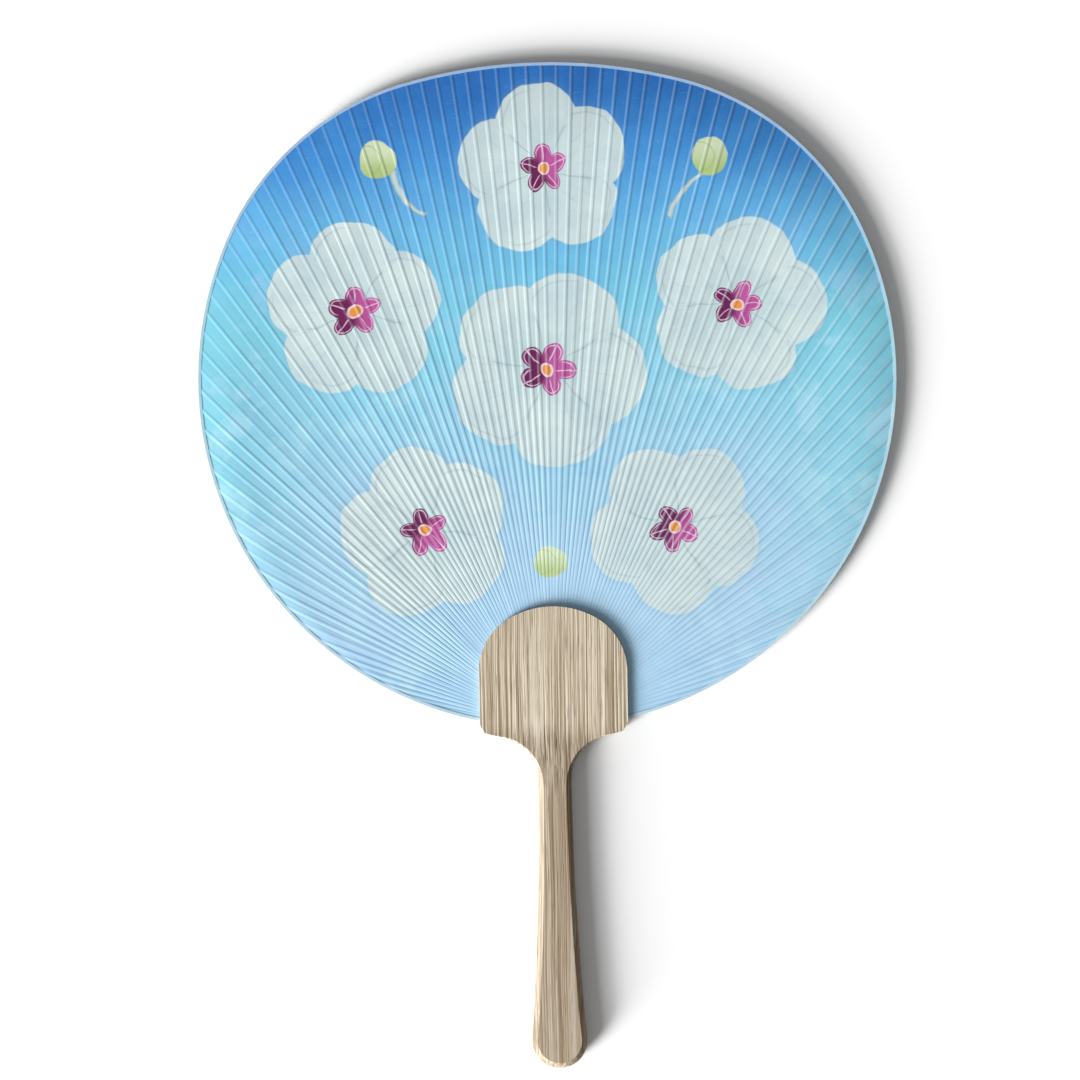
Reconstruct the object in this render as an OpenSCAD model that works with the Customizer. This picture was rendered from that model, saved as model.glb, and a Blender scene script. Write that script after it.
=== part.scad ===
// Round paper fan on a one-piece wooden handle.
//
// The leaf is a fan of thin bamboo ribs laid between two sheets of paper. Each sheet is
// pressed down over the ribs, so every rib shows as a raised ridge on both faces, and the
// sheets meet each other between the ribs. A folded strip of paper edges the rim, and the
// root of the leaf sits in a slot sawn into the head of the handle.
//
// Frame: the handle lies on its back on z = 0 and runs along Y, with the leaf towards +Y.
// The origin is on the back of the grip, where the hand holds it. Sizes and outlines are
// measured from the meeting point, in the handle's head, at which all the ribs aim.

/* [Frame] */
// Distance from the origin, on the back of the grip, to the meeting point of the ribs
hold_to_meet = 70; // [60:1:90]

/* [Leaf] */
// Radius of the sides and the lower edge of the leaf
leaf_r = 125.4; // [118:0.2:130]
// Height of the leaf's lowest point above the point where the ribs meet
leaf_low = 1.2; // [0.4:0.1:2]
// Radius of the shoulders of the leaf
shoulder_r = 98.7; // [85:0.1:110]
// Direction, from the top, in which the side arc becomes the shoulder arc
shoulder_at = 64.5; // [55:0.5:72]
// Radius of the flatter top of the leaf
top_r = 188; // [150:1:230]
// Thickness of each sheet of paper
paper_t = 0.2; // [0.15:0.01:0.3]

/* [Ribs] */
// Ribs on each side of the centre one
rib_pairs = 50; // [40:1:54]
// Width of a rib
rib_w = 0.75; // [0.6:0.01:0.85]
// Thickness of a rib
rib_t = 0.5; // [0.4:0.02:0.7]
// Angle between ribs at the middle of the fan
rib_angle = 1.3; // [1.25:0.01:1.4]
// Direction of the lowest ribs, from the top
last_rib_at = 78; // [76:0.5:79]
// Gap between neighbouring ribs at their inner ends
root_gap = 0.1; // [0.05:0.01:0.2]

/* [Edging] */
// Width of the edging strip on each face
edge_w = 0.8; // [0.6:0.1:2]
// Thickness of the edging strip
edge_t = 0.25; // [0.15:0.01:0.3]
// Length of the strip's ends tucked into the slot of the handle
edge_tuck = 1.5; // [0.5:0.1:4]

/* [Handle head] */
// Width of the head
head_w = 53.4; // [50:0.2:56]
// Height of the top of the head above the meeting point
head_top = 44.6; // [40:0.2:48]
// Thickness of the head
head_t = 4.6; // [3.6:0.1:6]
// Radius of the shoulders of the head
head_shoulder_r = 22.5; // [20:0.1:25]
// Radius of the top of the head
head_top_r = 31; // [29:0.5:40]
// Height of the slot's floor above the meeting point
slot_floor = 4; // [3.6:0.1:5]
// Width of the cut corners at the bottom of the head
corner_w = 1.8; // [1:0.1:3]
// Height of those corners
corner_h = 3.4; // [2:0.1:4]
// Height of their lower ends
corner_y = -0.6; // [-1.5:0.1:0]

/* [Handle grip] */
// Width of the neck, the narrowest place
neck_w = 12; // [10:0.2:14]
// Height of the neck, below the meeting point
neck_y = -17.8; // [-20:0.2:-17]
// Radius of the hollow between neck and head
neck_r = 16; // [15:0.2:16.6]
// Width of the grip at its end
grip_w = 19.8; // [17:0.2:22]
// Length of the handle below the meeting point
grip_len = 121.3; // [100:0.5:135]
// Thickness of the grip
grip_t = 8; // [7:0.2:10]
// Width of the bevels along the grip
bevel = 2; // [1:0.1:2.6]
// Height at which the head starts to thicken towards the grip
ramp_top = -2; // [-5:0.5:0]
// Height at which the full thickness of the grip is reached
ramp_end = -20; // [-30:1:-18]

/* [Hidden] */
$fn = 720;
big = 3 * leaf_r;                       // longer than the leaf, for cutting shapes
mid_z = grip_t / 2;                     // mid-plane of the handle and the leaf
leaf_centre = leaf_r + leaf_low;        // height of the centre of the side arc
meet = [0, hold_to_meet, mid_z];        // meeting point of the ribs
rib_spread = (last_rib_at - rib_pairs * rib_angle) / pow(rib_pairs, 3);
ridge_w = rib_w + 2 * paper_t;          // paper ridge over a rib
leaf_half = rib_t / 2 + paper_t;        // from the mid-plane to the top of a ridge
slot_half = max(leaf_half, paper_t + edge_t);
rib_inset = edge_w + paper_t;           // rib ends stay this far inside the rim
head_side = head_w / 2;
shoulder_x = head_side - head_shoulder_r;
shoulder_y = head_top - head_top_r + sqrt(pow(head_top_r - head_shoulder_r, 2) - pow(shoulder_x, 2));
grip_end = grip_w / 2 - grip_len;       // centre of the rounded end
flare = (grip_w - neck_w) / 2;
flare_run = neck_y - grip_end;
flare_r = (flare_run * flare_run + flare * flare) / (2 * flare);
hollow_angle = 14;                      // direction in which the hollow meets the head
lap = 0.05;                             // by which joined arcs and cuts overlap
lap_turn = 8;                           // angle by which joined arcs overlap

paper_colour = [0.58, 0.79, 0.91];
rib_colour = [0.86, 0.78, 0.58];
edge_colour = [0.93, 0.94, 0.90];
wood_colour = [0.72, 0.64, 0.53];

function rib_name(n) = str("rib_pair_", n < 10 ? "0" : "", n);

// Directions are measured clockwise from +Y.
function toward(a) = [sin(a), cos(a)];
function beside(a) = [cos(a), -sin(a)];

// Direction of rib n: evenly spaced at first, opening out towards the last ribs.
function rib_at(n) = n * rib_angle + rib_spread * pow(n, 3);

// Point at which two neighbouring strips of width w, aimed at the origin, stop touching.
function parting(n, w) =
    let (a = rib_at(n), b = rib_at(n + 1))
    w / 2 / sin((b - a) / 2) * toward((a + b) / 2);

// Part of a disc between two directions, seen from its centre.
module sector(centre, r, from, to) {
    steps = 4;
    intersection() {
        translate(centre) circle(r);
        polygon(concat([centre], [for (k = [0:steps])
            centre + 2 * r * toward(from + (to - from) * k / steps)]));
    }
}

// Shoulders and top of an arch. Each shoulder stands a hair proud of the arcs beside it and
// runs a little way under them, so that the three arcs cross instead of just touching.
module arch(shoulder, r, to, crown_r) {
    lean = asin(shoulder[0] / (crown_r - r));
    crown = [0, shoulder[1] - (crown_r - r) * cos(lean)];
    for (s = [0, 1]) mirror([s, 0]) sector(shoulder, r + lap, lean - lap_turn, to + lap_turn);
    sector(crown, crown_r, -lean, lean);
}

// Outline of the leaf, grown by a margin, down to a straight root.
module leaf(grow = 0, root = slot_floor) {
    centre = [0, leaf_centre];
    shoulder = centre + (leaf_r - shoulder_r) * toward(shoulder_at);
    intersection() {
        union() {
            sector(centre, leaf_r + grow, shoulder_at, 360 - shoulder_at);
            arch(shoulder, shoulder_r + grow, shoulder_at, top_r + grow);
            translate(centre) circle(leaf_r / 2);
        }
        translate([-big, root]) square([2 * big, big]);
    }
}

// Everything that lies between neighbouring strips of width w, and beyond the last ones.
module between_strips(w) {
    for (n = [-rib_pairs:rib_pairs - 1])
        polygon([
            parting(n, w),
            big * toward(rib_at(n)) + w / 2 * beside(rib_at(n)),
            big * toward(rib_at(n + 1)) - w / 2 * beside(rib_at(n + 1))
        ]);
    for (s = [0, 1]) mirror([s, 0])
        rotate(-last_rib_at) translate([w / 2, 0]) square([big, big]);
}

// Plan of the ribs from one number to another. Each starts where it would come too close to
// its neighbours and ends along the rim.
module rib_plan(from, to) {
    intersection() {
        leaf(-rib_inset);
        for (n = [from:to])
            rotate(-rib_at(n)) translate([-rib_w / 2, norm(parting(abs(n) - 1, rib_w + root_gap))])
                square([rib_w, big]);
    }
}

module rib(n) {
    color(rib_colour) translate(meet - [0, 0, rib_t / 2]) linear_extrude(rib_t) rib_plan(n, n);
}

module centre_rib() {
    rib(0);
}

module rib_pair(n) {
    rib(n);
    mirror([1, 0, 0]) rib(n);
}

// A sheet of paper on the mid-plane, ridged over the ribs and hollowed to take half of each.
module paper() {
    color(paper_colour) difference() {
        union() {
            linear_extrude(paper_t) leaf();
            linear_extrude(leaf_half) difference() {
                leaf(-edge_w);
                between_strips(ridge_w);
            }
        }
        translate([0, 0, -1]) linear_extrude(1 + rib_t / 2) rib_plan(-rib_pairs, rib_pairs);
    }
}

module front_paper() {
    translate(meet) paper();
}

module back_paper() {
    translate(meet) mirror([0, 0, 1]) paper();
}

// Strip folded over the rim, from one side of the handle's head round to the other.
module edging_strip() {
    inner = head_side - edge_tuck;
    color(edge_colour) translate(meet) difference() {
        translate([0, 0, -paper_t - edge_t]) linear_extrude(2 * (paper_t + edge_t)) difference() {
            leaf(edge_t);
            leaf(-edge_w, 0);
        }
        translate([0, 0, -paper_t]) linear_extrude(2 * paper_t) leaf(0, 0);
        translate([-inner, 0, -1]) cube([2 * inner, head_side, 2]);
    }
}

// Arched outline of the handle's head.
module head_outline() {
    arch([shoulder_x, shoulder_y], head_shoulder_r, 90, head_top_r);
}

// Outline below the arch, with cut corners and a hollow on each side down to the neck.
module throat_outline() {
    hollow = [neck_w / 2 + neck_r, neck_y];
    brink = hollow + (neck_r - lap) * toward(-hollow_angle);
    right = [
        [head_side, shoulder_y + 1],
        [head_side, corner_y + corner_h],
        [head_side - corner_w, corner_y],
        brink,
        [brink[0], neck_y]
    ];
    left = [for (k = [len(right) - 1:-1:0]) [-right[k][0], right[k][1]]];
    difference() {
        polygon(concat(right, left));
        for (s = [-1, 1]) translate([s * hollow[0], hollow[1]]) circle(neck_r);
    }
}

// Outline of the grip, widening in one long curve from the neck to the rounded end.
module grip_outline() {
    difference() {
        translate([-grip_w, grip_end + 0.8]) square([2 * grip_w, flare_run]);
        for (s = [-1, 1]) translate([s * (neck_w / 2 + flare_r), neck_y]) circle(flare_r);
    }
    translate([0, grip_end]) circle(grip_w / 2);
}

// Bevels along the front edges of the grip, the hollow and the rounded end.
module front_bevels() {
    for (s = [0, 1]) mirror([s, 0, 0]) {
        intersection() {
            bevel_cone([neck_w / 2 + flare_r, neck_y], flare_r, 1);
            translate([0, grip_end, 0]) cube([grip_w, flare_run, big]);
        }
        intersection() {
            bevel_cone([neck_w / 2 + neck_r, neck_y], neck_r, 1);
            translate([0, neck_y - 0.5, 0]) cube([head_side, 2 * neck_r, big]);
        }
    }
    difference() {
        translate([-grip_w, grip_end - grip_w, grip_t - bevel - lap])
            cube([2 * grip_w, grip_w + 0.5, bevel + 1]);
        bevel_cone([0, grip_end], grip_w / 2, -1);
    }
}

// Cone through the front edge's bevel, from just under it to just above the front face. It
// opens towards the front round a hollow edge (way = 1) and closes round a full one (-1).
module bevel_cone(centre, r, way) {
    over = 2;
    translate([centre[0], centre[1], grip_t - bevel - over])
        cylinder(h = bevel + 2 * over, r1 = r - way * over, r2 = r + way * (bevel + over));
}

// One board: an arched head slotted for the leaf, a slim neck and a bevelled grip.
module handle() {
    thin = (grip_t - head_t) / 2;
    color(wood_colour) translate([0, hold_to_meet, 0]) difference() {
        intersection() {
            union() {
                linear_extrude(grip_t) head_outline();
                linear_extrude(grip_t) throat_outline();
                linear_extrude(grip_t) grip_outline();
            }
            rotate([90, 0, 90]) translate([0, 0, -head_w]) linear_extrude(2 * head_w)
                polygon([
                    [-grip_len - 1, 0],
                    [ramp_end, 0],
                    [ramp_top, thin],
                    [head_top + 1, thin],
                    [head_top + 1, grip_t - thin],
                    [ramp_top, grip_t - thin],
                    [ramp_end, grip_t],
                    [-grip_len - 1, grip_t]
                ]);
        }
        front_bevels();
        translate([0, 0, grip_t]) mirror([0, 0, 1]) front_bevels();
        translate([-head_w, slot_floor, mid_z - slot_half])
            cube([2 * head_w, head_top, 2 * slot_half]);
    }
}

handle();
front_paper();
back_paper();
edging_strip();
centre_rib();
for (n = [1:rib_pairs]) rib_pair(n);
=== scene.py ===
import math
import random

import bpy
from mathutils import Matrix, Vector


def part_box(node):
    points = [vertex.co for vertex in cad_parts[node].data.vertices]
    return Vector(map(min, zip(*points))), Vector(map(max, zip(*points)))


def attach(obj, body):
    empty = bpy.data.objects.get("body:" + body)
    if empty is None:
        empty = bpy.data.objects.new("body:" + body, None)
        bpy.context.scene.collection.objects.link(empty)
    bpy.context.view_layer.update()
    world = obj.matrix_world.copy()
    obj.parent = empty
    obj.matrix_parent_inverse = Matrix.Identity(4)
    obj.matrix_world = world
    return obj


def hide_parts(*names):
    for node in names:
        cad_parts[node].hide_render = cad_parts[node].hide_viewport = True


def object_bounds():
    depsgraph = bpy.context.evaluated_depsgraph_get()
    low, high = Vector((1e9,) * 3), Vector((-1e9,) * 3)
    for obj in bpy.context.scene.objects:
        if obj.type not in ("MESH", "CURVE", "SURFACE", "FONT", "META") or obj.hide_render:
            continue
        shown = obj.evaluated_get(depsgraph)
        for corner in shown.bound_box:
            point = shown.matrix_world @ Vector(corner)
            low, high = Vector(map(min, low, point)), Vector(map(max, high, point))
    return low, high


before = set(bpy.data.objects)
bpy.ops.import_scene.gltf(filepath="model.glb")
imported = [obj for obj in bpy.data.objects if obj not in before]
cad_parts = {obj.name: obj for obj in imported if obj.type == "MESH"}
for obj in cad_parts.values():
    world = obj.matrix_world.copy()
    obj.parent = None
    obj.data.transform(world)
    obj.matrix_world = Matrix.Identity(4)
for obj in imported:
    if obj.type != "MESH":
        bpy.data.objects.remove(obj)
cad_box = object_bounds()
mm = 0.001


# ---- Where things are ----

# All the ribs aim at this point. The frame's origin is on the back of the grip.
hold_to_meet = 70 * mm
grip_low, grip_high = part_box("handle")
mid_z = (grip_low[2] + grip_high[2]) / 2

# The leaf's outline: side arc, shoulder arc and top arc, measured from the meeting point.
side_r = 125.4 * mm
side_centre = (0.0, side_r + 1.2 * mm)
shoulder_r = 98.7 * mm
shoulder_at = math.radians(64.5)
shoulder_centre = (
    (side_r - shoulder_r) * math.sin(shoulder_at),
    side_centre[1] + (side_r - shoulder_r) * math.cos(shoulder_at),
)
top_r = 188 * mm
top_half = math.asin(shoulder_centre[0] / (top_r - shoulder_r))
top_centre = (0.0, shoulder_centre[1] - (top_r - shoulder_r) * math.cos(top_half))

# The ribs and the paper ridges over them.
rib_pairs = 50
rib_step = math.radians(1.3)
last_rib = math.radians(78)
rib_spread = (last_rib - rib_pairs * rib_step) / rib_pairs ** 3
beyond_last = math.radians(1.7)     # paper beyond the last rib
edge_w = 0.8 * mm                   # width of the strip folded over the rim
under_strip = 0.4 * mm              # how far the paper reaches under it
leaf_root = 20 * mm                 # where the paper starts, inside the head
paper_t = 0.2 * mm
ridge_rise = 0.112 * mm             # height of a ridge above the paper beside it
ridge_crest = 0.28 * mm             # half-width of its rounded top
ridge_foot = 0.82 * mm              # half-width where it meets the paper beside it
panel_tilt = 0.06 * mm              # most by which one side of the paper between two ridges stands up
rim_lift = 0.1 * mm                 # rise of the paper towards the strip over the rim
floor_gap = 0.05 * mm               # between the fan and the floor
floor_size = 6.0                    # wide enough to fill every view


# Light: bearing clockwise from +Y, height above the floor, breadth, and strengths.
low_light = dict(bearing=230, height=17, breadth=22, strength=4.9)
high_light = dict(bearing=234, height=31, breadth=24, strength=2.2)
wall_strength = 0.25


# ---- Small helpers ----

def colour(r, g, b):
    """Linear colour from the red, green and blue that the eye sees, each 0 to 255."""
    def linear(c):
        c /= 255
        return c / 12.92 if c <= 0.04045 else ((c + 0.055) / 1.055) ** 2.4
    return (linear(r), linear(g), linear(b), 1.0)


def deselect():
    bpy.ops.object.select_all(action="DESELECT")


def edit(piece):
    deselect()
    bpy.context.view_layer.objects.active = piece
    piece.select_set(True)
    bpy.ops.object.mode_set(mode="EDIT")


def done():
    bpy.ops.object.mode_set(mode="OBJECT")


def wear(piece, material):
    piece.data.materials.clear()
    piece.data.materials.append(material)


# ---- Shader building ----

class Shader:
    """Adds nodes to a tree and links them by name."""

    def __init__(self, tree):
        self.tree = tree

    def add(self, kind, settings=None, **sockets):
        node = self.tree.nodes.new(kind)
        for key, value in (settings or {}).items():
            setattr(node, key, value)
        for key, value in sockets.items():
            self.feed(node, int(key[1:]) if key[0] == "i" and key[1:].isdigit() else key, value)
        return node

    def feed(self, node, key, value):
        socket = node.inputs[key.replace("_", " ") if isinstance(key, str) else key]
        if isinstance(value, bpy.types.NodeSocket):
            self.tree.links.new(value, socket)
        else:
            socket.default_value = value

    def maths(self, operation, *values):
        node = self.tree.nodes.new("ShaderNodeMath")
        node.operation = operation
        for k, value in enumerate(values):
            self.feed(node, k, value)
        return node.outputs[0]

    def blend(self, factor, first, second, how="MIX"):
        node = self.tree.nodes.new("ShaderNodeMix")
        node.data_type = "RGBA"
        node.blend_type = how
        for key, value in ((0, factor), (6, first), (7, second)):
            self.feed(node, key, value)
        return node.outputs[2]

    def band(self, value, low, high, to_low=0.0, to_high=1.0, smooth=True):
        node = self.tree.nodes.new("ShaderNodeMapRange")
        node.interpolation_type = "SMOOTHSTEP" if smooth else "LINEAR"
        for k, v in enumerate((value, low, high, to_low, to_high)):
            self.feed(node, k, v)
        return node.outputs[0]

    def noise(self, vector, scale, detail=3.0, roughness=0.5):
        return self.add("ShaderNodeTexNoise", Vector=vector, Scale=scale, Detail=detail,
                        Roughness=roughness).outputs[0]

    def vector(self, operation, first, second):
        return self.add("ShaderNodeVectorMath", {"operation": operation}, i0=first, i1=second).outputs[0]

    def length(self, x, y):
        squares = self.maths("ADD", self.maths("MULTIPLY", x, x), self.maths("MULTIPLY", y, y))
        return self.maths("SQRT", squares)

    def mapped(self, vector, place=(0, 0, 0), turn=(0, 0, 0), scale=(1, 1, 1)):
        return self.add("ShaderNodeMapping", Vector=vector, Location=place, Rotation=turn,
                        Scale=scale).outputs[0]


def group(name, inputs, outputs):
    """An empty node group with named sockets; returns its tree, its Shader and its ends."""
    tree = bpy.data.node_groups.new(name, "ShaderNodeTree")
    for label, kind, value in inputs:
        socket = tree.interface.new_socket(label, in_out="INPUT", socket_type=kind)
        if value is not None:
            socket.default_value = value
    for label, kind in outputs:
        tree.interface.new_socket(label, in_out="OUTPUT", socket_type=kind)
    start = tree.nodes.new("NodeGroupInput").outputs
    end = tree.nodes.new("NodeGroupOutput").inputs
    return tree, Shader(tree), start, end


def material(name):
    made = bpy.data.materials.new(name)
    made.use_nodes = True
    tree = made.node_tree
    return made, Shader(tree), tree.nodes["Principled BSDF"]


def place_group(shader, tree, **sockets):
    node = shader.tree.nodes.new("ShaderNodeGroup")
    node.node_tree = tree
    for key, value in sockets.items():
        shader.feed(node, key, value)
    return node


def spot_distance(s, start):
    """Place from a motif's centre, in its own radii: across, up, and straight."""
    offset = s.vector("SUBTRACT", start["Place"], start["Centre"])
    parts = s.add("ShaderNodeSeparateXYZ", i0=offset).outputs
    x = s.maths("DIVIDE", parts[0], start["Radius"])
    y = s.maths("DIVIDE", parts[1], start["Radius"])
    return x, y, s.length(x, y)


def blossom_group():
    """A round five-petalled blossom with a dark-pink heart, painted over what lies under it."""
    tree, s, start, end = group(
        "Painted blossom",
        [("Under", "NodeSocketColor", None), ("Place", "NodeSocketVector", None),
         ("Centre", "NodeSocketVector", None), ("Radius", "NodeSocketFloat", 30.0),
         ("Turn", "NodeSocketFloat", 0.0), ("Water", "NodeSocketFloat", 0.5)],
        [("Colour", "NodeSocketColor")],
    )
    x, y, r = spot_distance(s, start)
    angle = s.maths("ADD", s.maths("ARCTAN2", y, x), start["Turn"])
    # Swing is the angle from the middle line of the nearest petal, -36 to 36 degrees.
    fifth = 2 * math.pi / 5
    swing = s.maths("SUBTRACT", s.maths("FLOORED_MODULO", angle, fifth), fifth / 2)
    along = s.maths("MULTIPLY", r, s.maths("COSINE", swing))
    across = s.maths("MULTIPLY", r, s.maths("SINE", swing))
    aside = s.maths("ABSOLUTE", across)

    # Petals: round, a little wider than long, over a full middle.
    petal_reach = s.length(s.maths("SUBTRACT", along, 0.56), s.maths("MULTIPLY", across, 0.9))
    petals = s.maths("MAXIMUM", s.band(petal_reach, 0.45, 0.43), s.band(r, 0.56, 0.54))
    halo = s.band(petal_reach, 0.53, 0.45)
    paint = s.blend(s.maths("MULTIPLY", halo, 0.12), start["Under"], colour(120, 160, 190))
    wetness = s.band(start["Water"], 0.3, 0.7)
    tone = s.blend(wetness, colour(208, 223, 222), colour(190, 210, 214))
    tone = s.blend(s.band(r, 0.55, 0.15, 0.0, 0.3), tone, colour(176, 204, 204))
    # Soft brush lines: the fold between petals, an inner fold and a few veins.
    fold = s.maths("MULTIPLY", s.band(aside, 0.012, 0.0), s.band(along, 0.62, 0.5))
    from_middle = s.maths("ABSOLUTE", swing)
    seam = s.maths("MULTIPLY", s.band(from_middle, fifth / 2 - 0.045, fifth / 2 - 0.012),
                   s.band(r, 0.62, 0.52))
    wave = s.maths("ABSOLUTE", s.maths("SINE", s.maths("MULTIPLY", swing, 11.0)))
    vein = s.maths("MULTIPLY", s.band(wave, 0.2, 0.0),
                   s.maths("MULTIPLY", s.band(r, 0.3, 0.5), s.band(r, 0.86, 0.6)))
    curl = s.band(s.maths("ABSOLUTE", s.maths("SUBTRACT", petal_reach, 0.37)), 0.02, 0.0)
    curl = s.maths("MULTIPLY", curl, s.maths("MULTIPLY", s.band(swing, -0.1, 0.25), s.band(r, 0.5, 0.7)))
    lines = s.maths("MAXIMUM", s.maths("MAXIMUM", seam, s.maths("MULTIPLY", vein, 0.4)),
                    s.maths("MAXIMUM", s.maths("MULTIPLY", curl, 0.7), s.maths("MULTIPLY", fold, 0.35)))
    tone = s.blend(s.maths("MULTIPLY", lines, 0.42), tone, colour(138, 158, 168))
    paint = s.blend(s.maths("MULTIPLY", petals, 0.97), paint, tone)

    # Heart: five full lobes, dark on one side and light on the other, with pale lines.
    lobe = s.length(s.maths("MULTIPLY", s.maths("SUBTRACT", along, 0.165), 0.78), across)
    heart = s.maths("MAXIMUM", s.band(lobe, 0.104, 0.092), s.band(r, 0.12, 0.1))
    side = s.maths("ADD", s.maths("SINE", s.maths("ADD", angle, 0.9)),
                   s.maths("MULTIPLY", start["Water"], 1.4))
    pink = s.blend(s.band(side, 0.1, 1.3), colour(106, 30, 82), colour(184, 84, 152))
    ray = s.maths("MULTIPLY", s.band(aside, 0.009, 0.004), s.band(r, 0.08, 0.12))
    from_edge = s.maths("ABSOLUTE", s.maths("SUBTRACT", lobe, 0.078))
    edge_line = s.maths("MULTIPLY", s.band(from_edge, 0.008, 0.003), s.band(along, 0.12, 0.2))
    pale_lines = s.maths("MULTIPLY", s.maths("MAXIMUM", ray, edge_line), 0.75)
    pink = s.blend(pale_lines, pink, colour(232, 196, 222))
    paint = s.blend(heart, paint, pink)
    paint = s.blend(s.band(r, 0.082, 0.066), paint, colour(236, 206, 210))
    paint = s.blend(s.band(r, 0.062, 0.046), paint, colour(226, 148, 66))
    s.tree.links.new(paint, end["Colour"])
    return tree


def bud_group():
    """A round bud with a darker side and a soft rim, painted over what lies under it."""
    tree, s, start, end = group(
        "Painted bud",
        [("Under", "NodeSocketColor", None), ("Place", "NodeSocketVector", None),
         ("Centre", "NodeSocketVector", None), ("Radius", "NodeSocketFloat", 7.0),
         ("Water", "NodeSocketFloat", 0.5)],
        [("Colour", "NodeSocketColor")],
    )
    x, y, r = spot_distance(s, start)
    height = s.band(s.maths("ADD", y, start["Water"]), -0.3, 1.2)
    tone = s.blend(height, colour(176, 196, 116), colour(212, 226, 182))
    from_fold = s.maths("ABSOLUTE", s.maths("SUBTRACT", s.length(s.maths("ADD", x, 0.5), y), 0.75))
    fold = s.maths("MULTIPLY", s.band(from_fold, 0.06, 0.0), 0.5)
    tone = s.blend(fold, tone, colour(150, 172, 92))
    mask = s.maths("MULTIPLY", s.band(r, 1.03, 0.95), 0.94)
    s.tree.links.new(s.blend(mask, start["Under"], tone), end["Colour"])
    return tree


def stroke_group():
    """A tapering, slightly bowed brush stroke, painted over what lies under it."""
    tree, s, start, end = group(
        "Painted stroke",
        [("Under", "NodeSocketColor", None), ("Tone", "NodeSocketColor", None),
         ("Place", "NodeSocketVector", None), ("Centre", "NodeSocketVector", None),
         ("Turn", "NodeSocketFloat", 0.0), ("Length", "NodeSocketFloat", 12.0),
         ("Width", "NodeSocketFloat", 1.0), ("Bow", "NodeSocketFloat", 1.0)],
        [("Colour", "NodeSocketColor")],
    )
    offset = s.vector("SUBTRACT", start["Place"], start["Centre"])
    turned = s.add("ShaderNodeVectorRotate", {"rotation_type": "Z_AXIS"},
                   Vector=offset, Angle=start["Turn"]).outputs[0]
    parts = s.add("ShaderNodeSeparateXYZ", i0=turned).outputs
    x = s.maths("DIVIDE", parts[0], start["Length"])
    bowed = s.maths("SUBTRACT", parts[1], s.maths("MULTIPLY", start["Bow"], s.maths("MULTIPLY", x, x)))
    wide = s.maths("MULTIPLY", start["Width"], s.band(x, -1.0, 0.9, 1.25, 0.7, smooth=False))
    y = s.maths("ABSOLUTE", s.maths("DIVIDE", bowed, wide))
    mask = s.maths("MULTIPLY", s.band(y, 1.1, 0.8), s.band(s.maths("ABSOLUTE", x), 1.0, 0.97))
    tone = s.blend(s.band(y, 0.0, 1.0, 0.0, 0.35), start["Tone"], colour(70, 70, 66))
    s.tree.links.new(s.blend(s.maths("MULTIPLY", mask, 0.9), start["Under"], tone), end["Colour"])
    return tree


def washi_group():
    """Handmade paper: soft clouding, long fibres, and the height of both. Place is in mm."""
    tree, s, start, end = group(
        "Washi",
        [("Place", "NodeSocketVector", None)],
        [("Cloud", "NodeSocketFloat"), ("Fibre", "NodeSocketFloat"), ("Height", "NodeSocketFloat")],
    )
    bend = s.add("ShaderNodeTexNoise", Vector=start["Place"], Scale=0.16, Detail=1.0).outputs[1]
    bend = s.add("ShaderNodeVectorMath", {"operation": "SCALE"}, i0=bend, Scale=5.0).outputs[0]
    bent = s.vector("ADD", start["Place"], bend)
    one = s.noise(s.mapped(bent, turn=(0, 0, 0.6), scale=(0.1, 1, 1)), 2.4, 2.0)
    two = s.noise(s.mapped(bent, turn=(0, 0, -0.9), scale=(0.1, 1, 1)), 2.4, 2.0)
    fibre = s.maths("MAXIMUM", s.band(one, 0.62, 0.74), s.band(two, 0.62, 0.74))
    grit = s.noise(start["Place"], 3.0, 3.0, 0.6)
    s.tree.links.new(s.noise(start["Place"], 0.14, 4.0, 0.6), end["Cloud"])
    s.tree.links.new(fibre, end["Fibre"])
    s.tree.links.new(s.maths("ADD", s.maths("MULTIPLY", fibre, 0.5), grit), end["Height"])
    return tree


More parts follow.
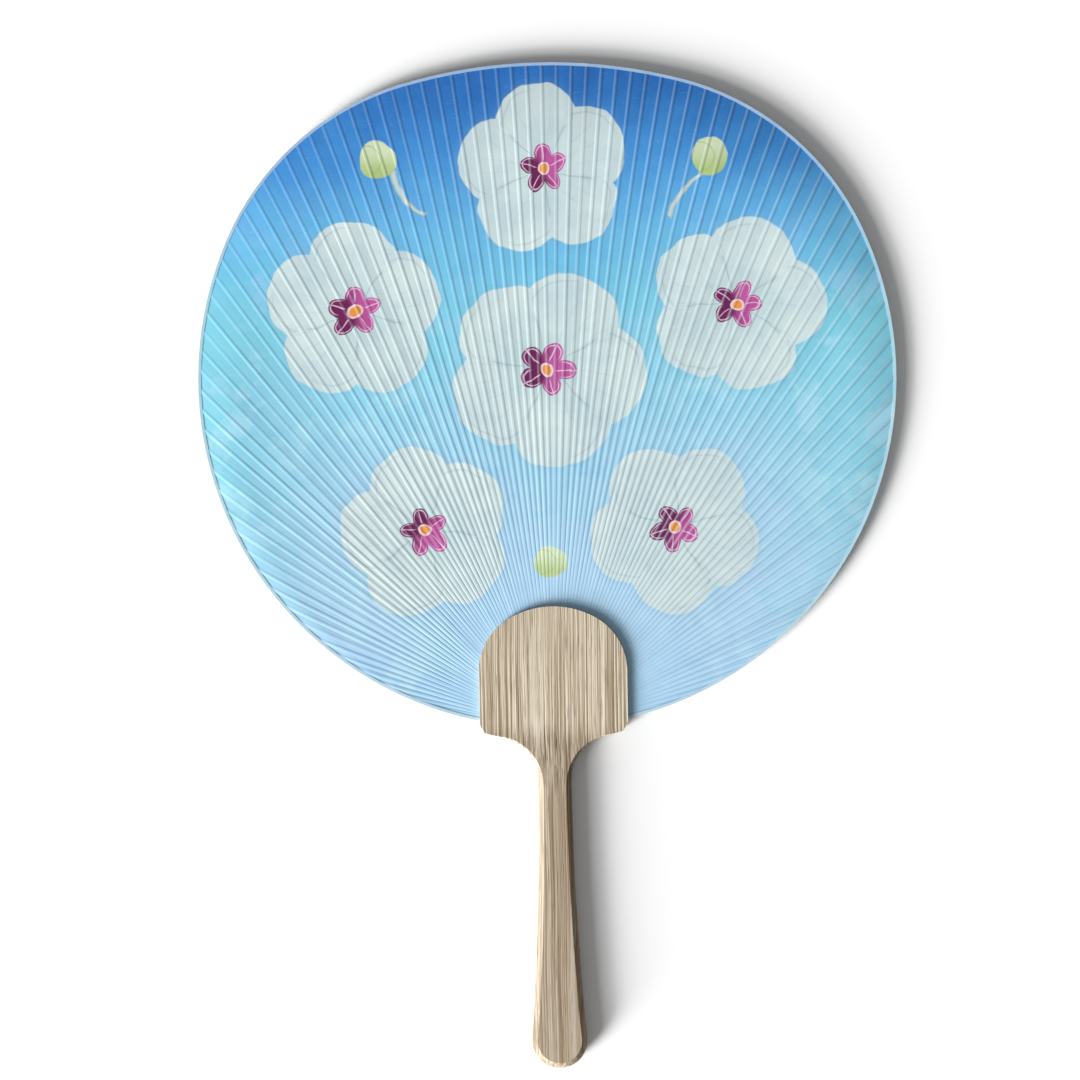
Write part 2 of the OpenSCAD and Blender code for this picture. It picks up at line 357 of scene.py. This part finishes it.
def grain_group():
    """Straight combed wood grain along Y. Place is in mm."""
    tree, s, start, end = group(
        "Straight grain",
        [("Place", "NodeSocketVector", None)],
        [("Hair", "NodeSocketFloat"), ("Comb", "NodeSocketFloat"), ("Figure", "NodeSocketFloat"),
         ("Ring", "NodeSocketFloat"), ("Pore", "NodeSocketFloat"), ("Height", "NodeSocketFloat")],
    )
    sway = s.noise(s.mapped(start["Place"], scale=(0.3, 1, 0.3)), 0.02, 1.0)
    sideways = s.maths("MULTIPLY", s.maths("SUBTRACT", sway, 0.5), 1.6)
    shift = s.add("ShaderNodeCombineXYZ", i0=sideways).outputs[0]
    place = s.vector("ADD", start["Place"], shift)
    hair = s.noise(s.mapped(place, scale=(1, 0.0045, 0.5)), 1.9, 1.0, 0.5)
    comb = s.noise(s.mapped(place, scale=(1, 0.008, 0.5)), 0.6, 2.0, 0.5)
    ring = s.noise(s.mapped(place, scale=(1, 0.007, 0.45)), 0.85, 2.0, 0.55)
    rings = s.maths("MAXIMUM", s.band(s.maths("ABSOLUTE", s.maths("SUBTRACT", ring, 0.5)), 0.022, 0.004),
                    s.band(s.maths("ABSOLUTE", s.maths("SUBTRACT", ring, 0.61)), 0.018, 0.003))
    pores = s.band(s.noise(s.mapped(place, scale=(1, 0.025, 0.6)), 3.4, 1.0, 0.5), 0.6, 0.7)
    s.tree.links.new(hair, end["Hair"])
    s.tree.links.new(comb, end["Comb"])
    s.tree.links.new(s.noise(s.mapped(place, scale=(1, 0.07, 0.6)), 0.1, 3.0, 0.5), end["Figure"])
    s.tree.links.new(rings, end["Ring"])
    s.tree.links.new(pores, end["Pore"])
    height = s.maths("ADD", hair, s.maths("MULTIPLY", comb, 0.4))
    cut = s.maths("ADD", s.maths("MULTIPLY", pores, 0.22), s.maths("MULTIPLY", rings, 0.3))
    s.tree.links.new(s.maths("SUBTRACT", height, cut), end["Height"])
    return tree


blossom = blossom_group()
bud = bud_group()
stroke = stroke_group()
washi = washi_group()
grain = grain_group()


# ---- Materials ----

# The painting on the leaf. Places and sizes are in mm from the point where the ribs meet.
# Blossoms, from the lowest layer up: centre, radius and turn.
blossoms = [
    ((0, 202), 31, 0.2),
    ((-69, 152), 32, 0.3),
    ((69, 152), 32, 0.62),
    ((-45, 72), 31, 1.3),
    ((45, 72), 31, 1.0),
    ((0, 130), 36, 0.75),
]
# Buds: centre and radius.
buds = [((-60, 206), 7), ((60, 206), 7), ((0, 60), 6)]
# Stalks: centre, turn, half-length, half-width, bow, tone. They lie under the blossoms.
stalk_tone = colour(196, 214, 206)
stalks = [
    ((-50, 193), 0.93, 10, 1.1, 2, stalk_tone),
    ((50, 193), -0.93, 10, 1.1, -2, stalk_tone),
]


def leaf_place(s):
    """Where a point lies on the leaf, in mm from the point where the ribs meet."""
    raw = s.add("ShaderNodeTexCoord").outputs["Object"]
    return s.mapped(raw, place=(0, -hold_to_meet / mm, 0), scale=(1 / mm, 1 / mm, 0))


def wet_ground(s, place):
    """One graded wash of blue: deep along the top, cyan across the middle, pale by the handle.

    The place is in mm from the point where the ribs meet.
    """
    parts = s.add("ShaderNodeSeparateXYZ", i0=place).outputs
    x, y = parts[0], parts[1]
    slow = s.maths("SUBTRACT", s.noise(place, 0.018, 3.0, 0.55), 0.5)
    quick = s.maths("SUBTRACT", s.noise(place, 0.06, 4.0, 0.6), 0.5)
    speckle = s.maths("SUBTRACT", s.noise(place, 1.1, 3.0, 0.65), 0.5)

    pale = s.band(s.maths("ADD", y, s.maths("MULTIPLY", slow, 90.0)), 170.0, 40.0)
    ground = s.blend(pale, colour(124, 203, 226), colour(172, 208, 236))
    aside = s.maths("ABSOLUTE", x)
    teal = s.band(s.maths("ADD", aside, s.maths("MULTIPLY", quick, 70.0)), 60.0, 120.0)
    ground = s.blend(s.maths("MULTIPLY", teal, 0.5), ground, colour(118, 200, 216))
    pool = s.band(s.maths("ADD", quick, s.maths("MULTIPLY", speckle, 0.25)), 0.05, 0.12)
    ground = s.blend(s.maths("MULTIPLY", pool, 0.2), ground, colour(104, 178, 226))
    near_root = s.maths("MULTIPLY", s.band(s.length(x, y), 90.0, 40.0), 0.5)
    near_foot = s.band(s.maths("ADD", y, s.maths("MULTIPLY", quick, 110.0)), 42.0, 8.0, 0.0, 0.8)
    ground = s.blend(s.maths("MAXIMUM", near_root, near_foot), ground, colour(160, 204, 236))

    puff = s.band(s.maths("ADD", quick, s.maths("MULTIPLY", slow, 0.5)), 0.0, 0.14)
    puff = s.maths("MULTIPLY", puff, s.band(aside, 10.0, 60.0, 0.0, 0.4))
    ground = s.blend(puff, ground, colour(186, 226, 240))

    # The deep blue lies level along the top and fades downwards, as a graded wash does.
    up = s.maths("ADD", y, s.maths("MULTIPLY", s.maths("ADD", slow, quick), 22.0))
    up = s.maths("ADD", up, s.maths("MULTIPLY", speckle, 8.0))
    ground = s.blend(s.band(up, 140.0, 190.0, 0.0, 0.75), ground, colour(88, 166, 224))
    ground = s.blend(s.band(up, 178.0, 212.0), ground, colour(64, 140, 210))
    return s.blend(s.band(up, 204.0, 236.0), ground, colour(44, 113, 192))


def painted_paper():
    made, s, bsdf = material("painted washi")
    place = leaf_place(s)
    paper = place_group(s, washi, Place=place).outputs
    # The edges of the painting wander a little, as wet colour does.
    wander = s.add("ShaderNodeTexNoise", Vector=place, Scale=0.07, Detail=3.0).outputs[1]
    wander = s.add("ShaderNodeVectorMath", {"operation": "MULTIPLY_ADD"},
                   i0=wander, i1=(5, 5, 0), i2=(-2.5, -2.5, 0)).outputs[0]
    brushed = s.vector("ADD", place, wander)
    water = s.noise(place, 0.05, 4.0, 0.6)

    paint = wet_ground(s, place)
    for centre, turn, length, width, bow, tone in stalks:
        paint = place_group(s, stroke, Under=paint, Tone=tone, Place=brushed, Centre=(*centre, 0),
                            Turn=turn, Length=length, Width=width, Bow=bow).outputs[0]
    for centre, radius, turn in blossoms:
        paint = place_group(s, blossom, Under=paint, Place=brushed, Centre=(*centre, 0), Radius=radius,
                            Turn=turn, Water=water).outputs[0]
    for centre, radius in buds:
        paint = place_group(s, bud, Under=paint, Place=brushed, Centre=(*centre, 0), Radius=radius,
                            Water=water).outputs[0]
    s.feed(bsdf, "Base Color", pressed_paper(s, paint, paper))
    finish_paper(s, bsdf, paper)
    return made


def pressed_paper(s, paint, paper):
    """Paper colour by the ribs: uneven panels, and painted shade in a dark crease and painted light in a pale
    line by each rib.
    """
    # The map's first mark counts the ribs, and the second is the distance from the nearest in mm.
    marks = s.add("ShaderNodeSeparateXYZ", i0=s.add("ShaderNodeUVMap", {"uv_map": "ribs"}).outputs[0]).outputs
    panel = s.add("ShaderNodeTexWhiteNoise", {"noise_dimensions": "1D"},
                  W=s.maths("FLOOR", marks[0])).outputs[0]
    paint = s.blend(s.maths("MULTIPLY", panel, 0.10), paint, colour(96, 118, 132), "MULTIPLY")
    # Painted shade: a dark crease beside each ridge, stronger on its right.
    crease = s.band(s.maths("ABSOLUTE", s.maths("SUBTRACT", marks[1], ridge_foot / mm)), 0.32, 0.05)
    right = s.maths("LESS_THAN", s.maths("FRACT", marks[0]), 0.5)
    depth = s.maths("ADD", 0.05, s.maths("MULTIPLY", right, s.band(marks[0], -32.0, 32.0, 0.03, 0.3)))
    paint = s.blend(s.maths("MULTIPLY", crease, depth), paint, colour(110, 125, 135), "MULTIPLY")
    # Painted light: a paler line on the left of each ridge.
    left = s.maths("SUBTRACT", 1.0, right)
    painted_light = s.maths("ADD", 0.05, s.maths("MULTIPLY", left, s.band(marks[0], -25.0, 32.0, 0.03, 0.26)))
    paint = s.blend(s.maths("MULTIPLY", s.band(marks[1], 0.75, 0.3), painted_light), paint, colour(206, 230, 240))
    paint = s.blend(s.band(paper["Cloud"], 0.35, 0.7, 0.0, 0.1), paint, colour(255, 255, 255), "SOFT_LIGHT")
    return s.blend(s.maths("MULTIPLY", paper["Fibre"], 0.05), paint, colour(240, 246, 248))


def finish_paper(s, bsdf, paper):
    s.feed(bsdf, "Roughness", s.band(paper["Cloud"], 0.3, 0.7, 0.74, 0.86))
    bsdf.inputs["Specular IOR Level"].default_value = 0.2
    s.feed(bsdf, "Normal", s.add("ShaderNodeBump", Strength=0.3, Distance=0.03 * mm,
                                 Height=paper["Height"]).outputs[0])


def plain_paper(name, light, dark, pressed=False, dyed=False):
    made, s, bsdf = material(name)
    place = leaf_place(s)
    paper = place_group(s, washi, Place=place).outputs
    tone = s.blend(s.band(paper["Cloud"], 0.3, 0.7), dark, light)
    if dyed:
        tone = s.blend(0.42, tone, wet_ground(s, place))
    tone = s.blend(s.maths("MULTIPLY", paper["Fibre"], 0.18), tone, colour(250, 250, 246))
    if pressed:
        tone = pressed_paper(s, tone, paper)
    s.feed(bsdf, "Base Color", tone)
    finish_paper(s, bsdf, paper)
    return made


def cedar():
    made, s, bsdf = material("combed cedar")
    raw = s.add("ShaderNodeTexCoord").outputs["Object"]
    place = s.mapped(raw, scale=(1 / mm, 1 / mm, 1 / mm))
    wood = place_group(s, grain, Place=place).outputs
    ramp = s.add("ShaderNodeValToRGB", i0=wood["Hair"])
    stops = ramp.color_ramp.elements
    stops[0].position, stops[0].color = 0.34, colour(148, 128, 103)
    stops[1].position, stops[1].color = 0.64, colour(240, 228, 208)
    middle_tones = (
        (0.42, colour(178, 161, 137)),
        (0.48, colour(202, 188, 165)),
        (0.55, colour(224, 212, 191)),
    )
    for at, tone in middle_tones:
        stop = stops.new(at)
        stop.color = tone
    tone = s.blend(s.band(wood["Comb"], 0.35, 0.65, 0.0, 0.12), ramp.outputs[0], colour(164, 144, 118))
    tone = s.blend(s.band(wood["Figure"], 0.35, 0.65, 0.0, 0.15), tone, colour(198, 180, 152))
    tone = s.blend(s.maths("MULTIPLY", wood["Ring"], 0.45), tone, colour(112, 90, 66))
    tone = s.blend(s.maths("MULTIPLY", wood["Pore"], 0.45), tone, colour(104, 82, 60))
    # Painted light and shade: the slopes are a little paler on the left, darker and warmer on the right.
    normal = s.add("ShaderNodeNewGeometry").outputs["True Normal"]
    facing = s.add("ShaderNodeSeparateXYZ", i0=normal).outputs
    sides = s.band(s.maths("ABSOLUTE", facing[2]), 0.97, 0.75)
    dark_side = s.maths("MULTIPLY", sides, s.band(facing[0], 0.1, 0.5, 0.0, 0.62))
    tone = s.blend(dark_side, tone, colour(112, 84, 58), "MULTIPLY")
    pale_side = s.maths("MULTIPLY", sides, s.band(facing[0], -0.1, -0.5, 0.0, 0.15))
    tone = s.blend(pale_side, tone, colour(236, 222, 202))
    # Painted shade: the grip is a shade darker than the head, and so is the hollow of the neck.
    along = s.add("ShaderNodeSeparateXYZ", i0=place).outputs[1]
    grip_shade = s.band(along, hold_to_meet / mm - 4, hold_to_meet / mm - 30, 0.0, 0.42)
    tone = s.blend(grip_shade, tone, colour(132, 108, 82))
    from_neck = s.maths("ABSOLUTE", s.maths("SUBTRACT", along, hold_to_meet / mm - 10))
    neck = s.band(from_neck, 14.0, 4.0, 0.0, 0.28)
    tone = s.blend(neck, tone, colour(150, 124, 96), "MULTIPLY")
    s.feed(bsdf, "Base Color", tone)
    s.feed(bsdf, "Roughness", s.band(wood["Hair"], 0.35, 0.65, 0.74, 0.58))
    bsdf.inputs["Specular IOR Level"].default_value = 0.3
    s.feed(bsdf, "Normal", s.add("ShaderNodeBump", Strength=0.8, Distance=0.22 * mm,
                                 Height=wood["Height"]).outputs[0])
    return made


def bamboo():
    made, s, bsdf = material("split bamboo")
    place = s.mapped(s.add("ShaderNodeTexCoord").outputs["Object"], scale=(1 / mm, 0.1 / mm, 1 / mm))
    streak = s.noise(place, 0.5, 3.0, 0.6)
    tone = s.blend(s.band(streak, 0.35, 0.65), colour(206, 184, 132), colour(228, 212, 168))
    s.feed(bsdf, "Base Color", tone)
    s.feed(bsdf, "Roughness", s.band(streak, 0.35, 0.65, 0.5, 0.62))
    s.feed(bsdf, "Normal", s.add("ShaderNodeBump", Strength=0.3, Distance=0.1 * mm, Height=streak).outputs[0])
    return made


painted = painted_paper()
plain = plain_paper("plain washi", colour(226, 230, 222), colour(210, 216, 210), pressed=True)
edging = plain_paper("edging paper", colour(200, 216, 220), colour(182, 202, 210), dyed=True)
wood = cedar()
cane = bamboo()


# ---- The leaf ----

def rib_at(n):
    return n * rib_step + rib_spread * n ** 3


def rim_distance(start, heading, inset):
    """How far a line from start runs before it comes within inset of the leaf's edge."""
    sx, sy = start
    dx, dy = math.sin(heading), math.cos(heading)
    side = 1 if dx >= 0 else -1

    def meets(centre, radius):
        px, py = sx - centre[0], sy - centre[1]
        b = px * dx + py * dy
        root = b * b - (px * px + py * py - radius * radius)
        return None if root < 0 else math.sqrt(root) - b

    def bearing(centre, run):
        return math.atan2(side * (sx + run * dx - centre[0]), sy + run * dy - centre[1])

    run = meets(top_centre, top_r - inset)
    if run is not None and bearing(top_centre, run) <= top_half:
        return run
    run = meets((side * shoulder_centre[0], shoulder_centre[1]), shoulder_r - inset)
    if run is not None and bearing(side_centre, run) <= shoulder_at:
        return run
    return meets(side_centre, side_r - inset)


def ridge(reach):
    """Share of a ridge's height at this distance from its middle."""
    t = min(max((reach - ridge_crest) / (ridge_foot - ridge_crest), 0.0), 1.0)
    dome = 0.06 * min(reach / ridge_crest, 1.0) ** 2
    return (1 - t * t * (3 - 2 * t)) * (1 - dome)


def leaf_sheet(name, way, seed):
    """One sheet of paper pressed over the ribs. way is 1 for the front and -1 for the back."""
    chance = random.Random(seed)
    # Lines along each rib: at this distance from its middle or, where the ribs crowd together,
    # at this share of the half-gap to the next one.
    lines = [(0.0, 0.0), (ridge_crest, 0.2), (0.46 * mm, 0.36), (0.64 * mm, 0.52), (ridge_foot, 0.68),
             (0.96 * mm, 0.82), (math.inf, 1.0)]
    ribs = range(-rib_pairs, rib_pairs + 1)
    heights = {n: ridge_rise * chance.uniform(0.78, 1.12) for n in ribs}
    tilts = {n: panel_tilt * chance.uniform(-1, 1) for n in range(-rib_pairs - 1, rib_pairs + 1)}
    columns = []
    for n in ribs:
        before = (rib_at(n) - rib_at(n - 1)) / 2 if n > -rib_pairs else beyond_last
        after = (rib_at(n + 1) - rib_at(n)) / 2 if n < rib_pairs else beyond_last
        columns += [(n, -1, k, before) for k in range(len(lines) - 1, 0, -1)]
        columns += [(n, 1, k, after) for k in range(len(lines) - 1)]
    columns.append((rib_pairs, 1, len(lines) - 1, after))
    rows = [0.0, 0.04, 0.08, 0.12, 0.16, 0.21, 0.27, 0.35, 0.45, 0.57, 0.71, 0.86, 1.0]

    def surface(n, side, reach, gap):
        """Height of the paper above the mid-plane, reach from the middle of rib n."""
        tilt = tilts[n if side > 0 else n - 1]
        own, other = (max(tilt, 0), max(-tilt, 0)) if side > 0 else (max(-tilt, 0), max(tilt, 0))
        if reach <= ridge_foot:
            stands = own * reach / ridge_foot
        else:
            stands = own + (other - own) * 0.5 * (reach - ridge_foot) / (gap - ridge_foot)
        return paper_t + stands + heights[n] * ridge(reach)

    points, marks = [], []
    for row in range(len(rows) + 1):
        rim = row == len(rows)
        inset = edge_w - under_strip if rim else edge_w
        along = 1.0 if rim else rows[row]
        for n, side, k, half in columns:
            heading = rib_at(n)
            offset, share = lines[k]
            if share == 1.0 or n == side * rib_pairs:
                # Midway between two ribs, and beyond the last one, a line aims at the meeting point.
                heading += side * half * share
                run = leaf_root + (rim_distance((0.0, 0.0), heading, inset) - leaf_root) * along
                x, y = run * math.sin(heading), run * math.cos(heading)
                gap = run * math.sin(half)
                reach = run * math.sin(half * share)
            else:
                start = (side * offset * math.cos(heading), -side * offset * math.sin(heading))
                run = leaf_root + (rim_distance(start, heading, inset) - leaf_root) * along
                gap = run * math.tan(half)
                reach = min(offset, gap * share)
                x = run * math.sin(heading) + side * reach * math.cos(heading)
                y = run * math.cos(heading) - side * reach * math.sin(heading)
            top = paper_t if rim else surface(n, side, reach, max(gap, ridge_foot * 1.01))
            if along == 1.0 and not rim:
                top += rim_lift
            points.append((x, hold_to_meet + y, mid_z + way * top))
            marks.append((n + side * reach / (2 * gap), reach / mm))

    deselect()
    bpy.ops.mesh.primitive_grid_add(x_subdivisions=len(columns) - 1, y_subdivisions=len(rows), size=2)
    sheet = bpy.context.object
    sheet.name = name
    sheet.data.vertices.foreach_set("co", [c for point in points for c in point])
    uv = sheet.data.uv_layers[0]
    uv.name = "ribs"
    for loop in sheet.data.loops:
        uv.data[loop.index].uv = marks[loop.vertex_index]
    edit(sheet)
    bpy.ops.mesh.select_all(action="SELECT")
    if way < 0:
        bpy.ops.mesh.flip_normals()
    done()
    # Each sheet is closed by its own thickness, towards the ribs.
    thick = sheet.modifiers.new("thickness", "SOLIDIFY")
    thick.thickness = paper_t * 0.98
    thick.offset = -1
    bpy.ops.object.modifier_apply(modifier=thick.name)
    bpy.ops.object.shade_smooth_by_angle(angle=math.radians(50))
    return sheet


front = leaf_sheet("front_sheet", 1, seed=11)
wear(front, painted)
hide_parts("front_paper")
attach(front, "root")

back = leaf_sheet("back_sheet", -1, seed=29)
wear(back, plain)
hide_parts("back_paper")
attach(back, "root")


# ---- The handle ----

def merged_copy(node, name):
    """A copy of a solid as one clean shell, with its flat faces whole again."""
    deselect()
    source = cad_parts[node]
    piece = source.copy()
    piece.data = source.data.copy()
    piece.name = name
    bpy.context.collection.objects.link(piece)
    edit(piece)
    bpy.ops.mesh.select_all(action="SELECT")
    bpy.ops.mesh.remove_doubles(threshold=0.01 * mm)
    bpy.ops.mesh.dissolve_limited(angle_limit=math.radians(0.5))
    done()
    return piece


# The head thickens towards the grip in one easy curve instead of a straight ramp.
ramp_high, ramp_low = hold_to_meet - 2 * mm, hold_to_meet - 20 * mm
curve_high, curve_low = ramp_high + 6 * mm, ramp_low - 6 * mm
thin_half, thick_half = 2.3 * mm, grip_high[2] - mid_z      # of the head and of the grip
cuts = 16                                                   # steps in the curve
past_slot = 1.5 * mm        # points further than this from the mid-plane are on the outer faces
round_from = 1.9 * mm       # edges further than this from it are rounded over
rounding = 0.4 * mm


def ease(y):
    """How much further out than the straight ramp the eased face stands, at this place along it."""
    straight = min(max((ramp_high - y) / (ramp_high - ramp_low), 0.0), 1.0)
    t = min(max((curve_high - y) / (curve_high - curve_low), 0.0), 1.0)
    return (thick_half - thin_half) * (t * t * (3 - 2 * t) - straight)


handle = merged_copy("handle", "shaped_handle")
edit(handle)
for k in range(cuts + 1):
    y = curve_low + (curve_high - curve_low) * k / cuts
    bpy.ops.mesh.select_all(action="SELECT")
    bpy.ops.mesh.bisect(plane_co=(0, y, 0), plane_no=(0, 1, 0))
done()
for vertex in handle.data.vertices:
    out = vertex.co.z - mid_z
    if abs(out) > past_slot and curve_low < vertex.co.y < curve_high:
        vertex.co.z += math.copysign(1, out) * ease(vertex.co.y)

# Its edges are rounded over, as sanding leaves them.
edit(handle)
bpy.ops.mesh.select_all(action="DESELECT")
bpy.ops.mesh.select_mode(type="EDGE")
bpy.ops.mesh.edges_select_sharp(sharpness=math.radians(24))
done()
for edge in handle.data.edges:
    ends = [handle.data.vertices[v].co for v in edge.vertices]
    edge.select = edge.select and min(abs(end.z - mid_z) for end in ends) > round_from
edit(handle)
bpy.ops.mesh.bevel(offset=rounding, segments=3, profile=0.5, clamp_overlap=True)
done()
bpy.ops.object.shade_smooth_by_angle(angle=math.radians(40))
even = handle.modifiers.new("even_shading", "WEIGHTED_NORMAL")
even.keep_sharp = True
bpy.ops.object.modifier_apply(modifier=even.name)
wear(handle, wood)
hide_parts("handle")
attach(handle, "root")


# ---- Pieces kept as they are ----

for node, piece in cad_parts.items():
    if "rib" in node:
        wear(piece, cane)
wear(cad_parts["edging_strip"], edging)


# ---- Floor, light and camera ----

def floor_material():
    made, s, bsdf = material("studio floor")
    raw = s.add("ShaderNodeTexCoord").outputs["Object"]
    tone = s.blend(s.noise(raw, 3.0, 2.0), colour(252, 252, 252), colour(250, 250, 250))
    s.feed(bsdf, "Base Color", tone)
    bsdf.inputs["Roughness"].default_value = 0.9
    bsdf.inputs["Specular IOR Level"].default_value = 0.1
    return made


deselect()
bpy.ops.mesh.primitive_plane_add(size=floor_size, location=(0, 0.1, cad_box[0][2] - floor_gap))
floor = bpy.context.object
floor.name = "floor"
wear(floor, floor_material())


def soft_light(name, bearing, height, breadth, strength):
    """A far, broad lamp at a bearing clockwise from +Y and a height above the floor, in degrees."""
    lamp = bpy.data.lights.new(name, "SUN")
    lamp.energy = strength
    lamp.angle = math.radians(breadth)
    made = bpy.data.objects.new(name, lamp)
    made.rotation_euler = (math.pi / 2 - math.radians(height), 0, math.pi - math.radians(bearing))
    bpy.context.collection.objects.link(made)


# Soft light comes in low from the lower left and draws the ridges, more of it comes from
# higher up on the same side, and the studio's white walls fill in the shadows.
soft_light("low_light", **low_light)
soft_light("high_light", **high_light)

world = bpy.context.scene.world or bpy.data.worlds.new("studio")
bpy.context.scene.world = world
world.use_nodes = True
world.node_tree.nodes["Background"].inputs[0].default_value = (1.0, 1.0, 1.0, 1.0)
world.node_tree.nodes["Background"].inputs[1].default_value = wall_strength

# The photograph's frame is 1080 pixels wide and shows 0.36 mm in a pixel. The ribs meet at
# this pixel, and the fan leans a little to the left.
frame_px = 1080
px = 0.36 * mm
meet_px = (554, 730)
lean = math.radians(1.1)
across = (frame_px / 2 - meet_px[0]) * px
up = (meet_px[1] - frame_px / 2) * px

camera_data = bpy.data.cameras.new("camera")
camera_data.lens = 100
camera_data.sensor_width = 36
camera = bpy.data.objects.new("camera", camera_data)
camera.location = (
    across * math.cos(lean) + up * math.sin(lean),
    hold_to_meet - across * math.sin(lean) + up * math.cos(lean),
    mid_z + frame_px * px * camera_data.lens / camera_data.sensor_width,
)
camera.rotation_euler = (0, 0, -lean)
bpy.context.collection.objects.link(camera)
bpy.context.scene.camera = camera
bpy.context.scene.view_settings.view_transform = "Standard"
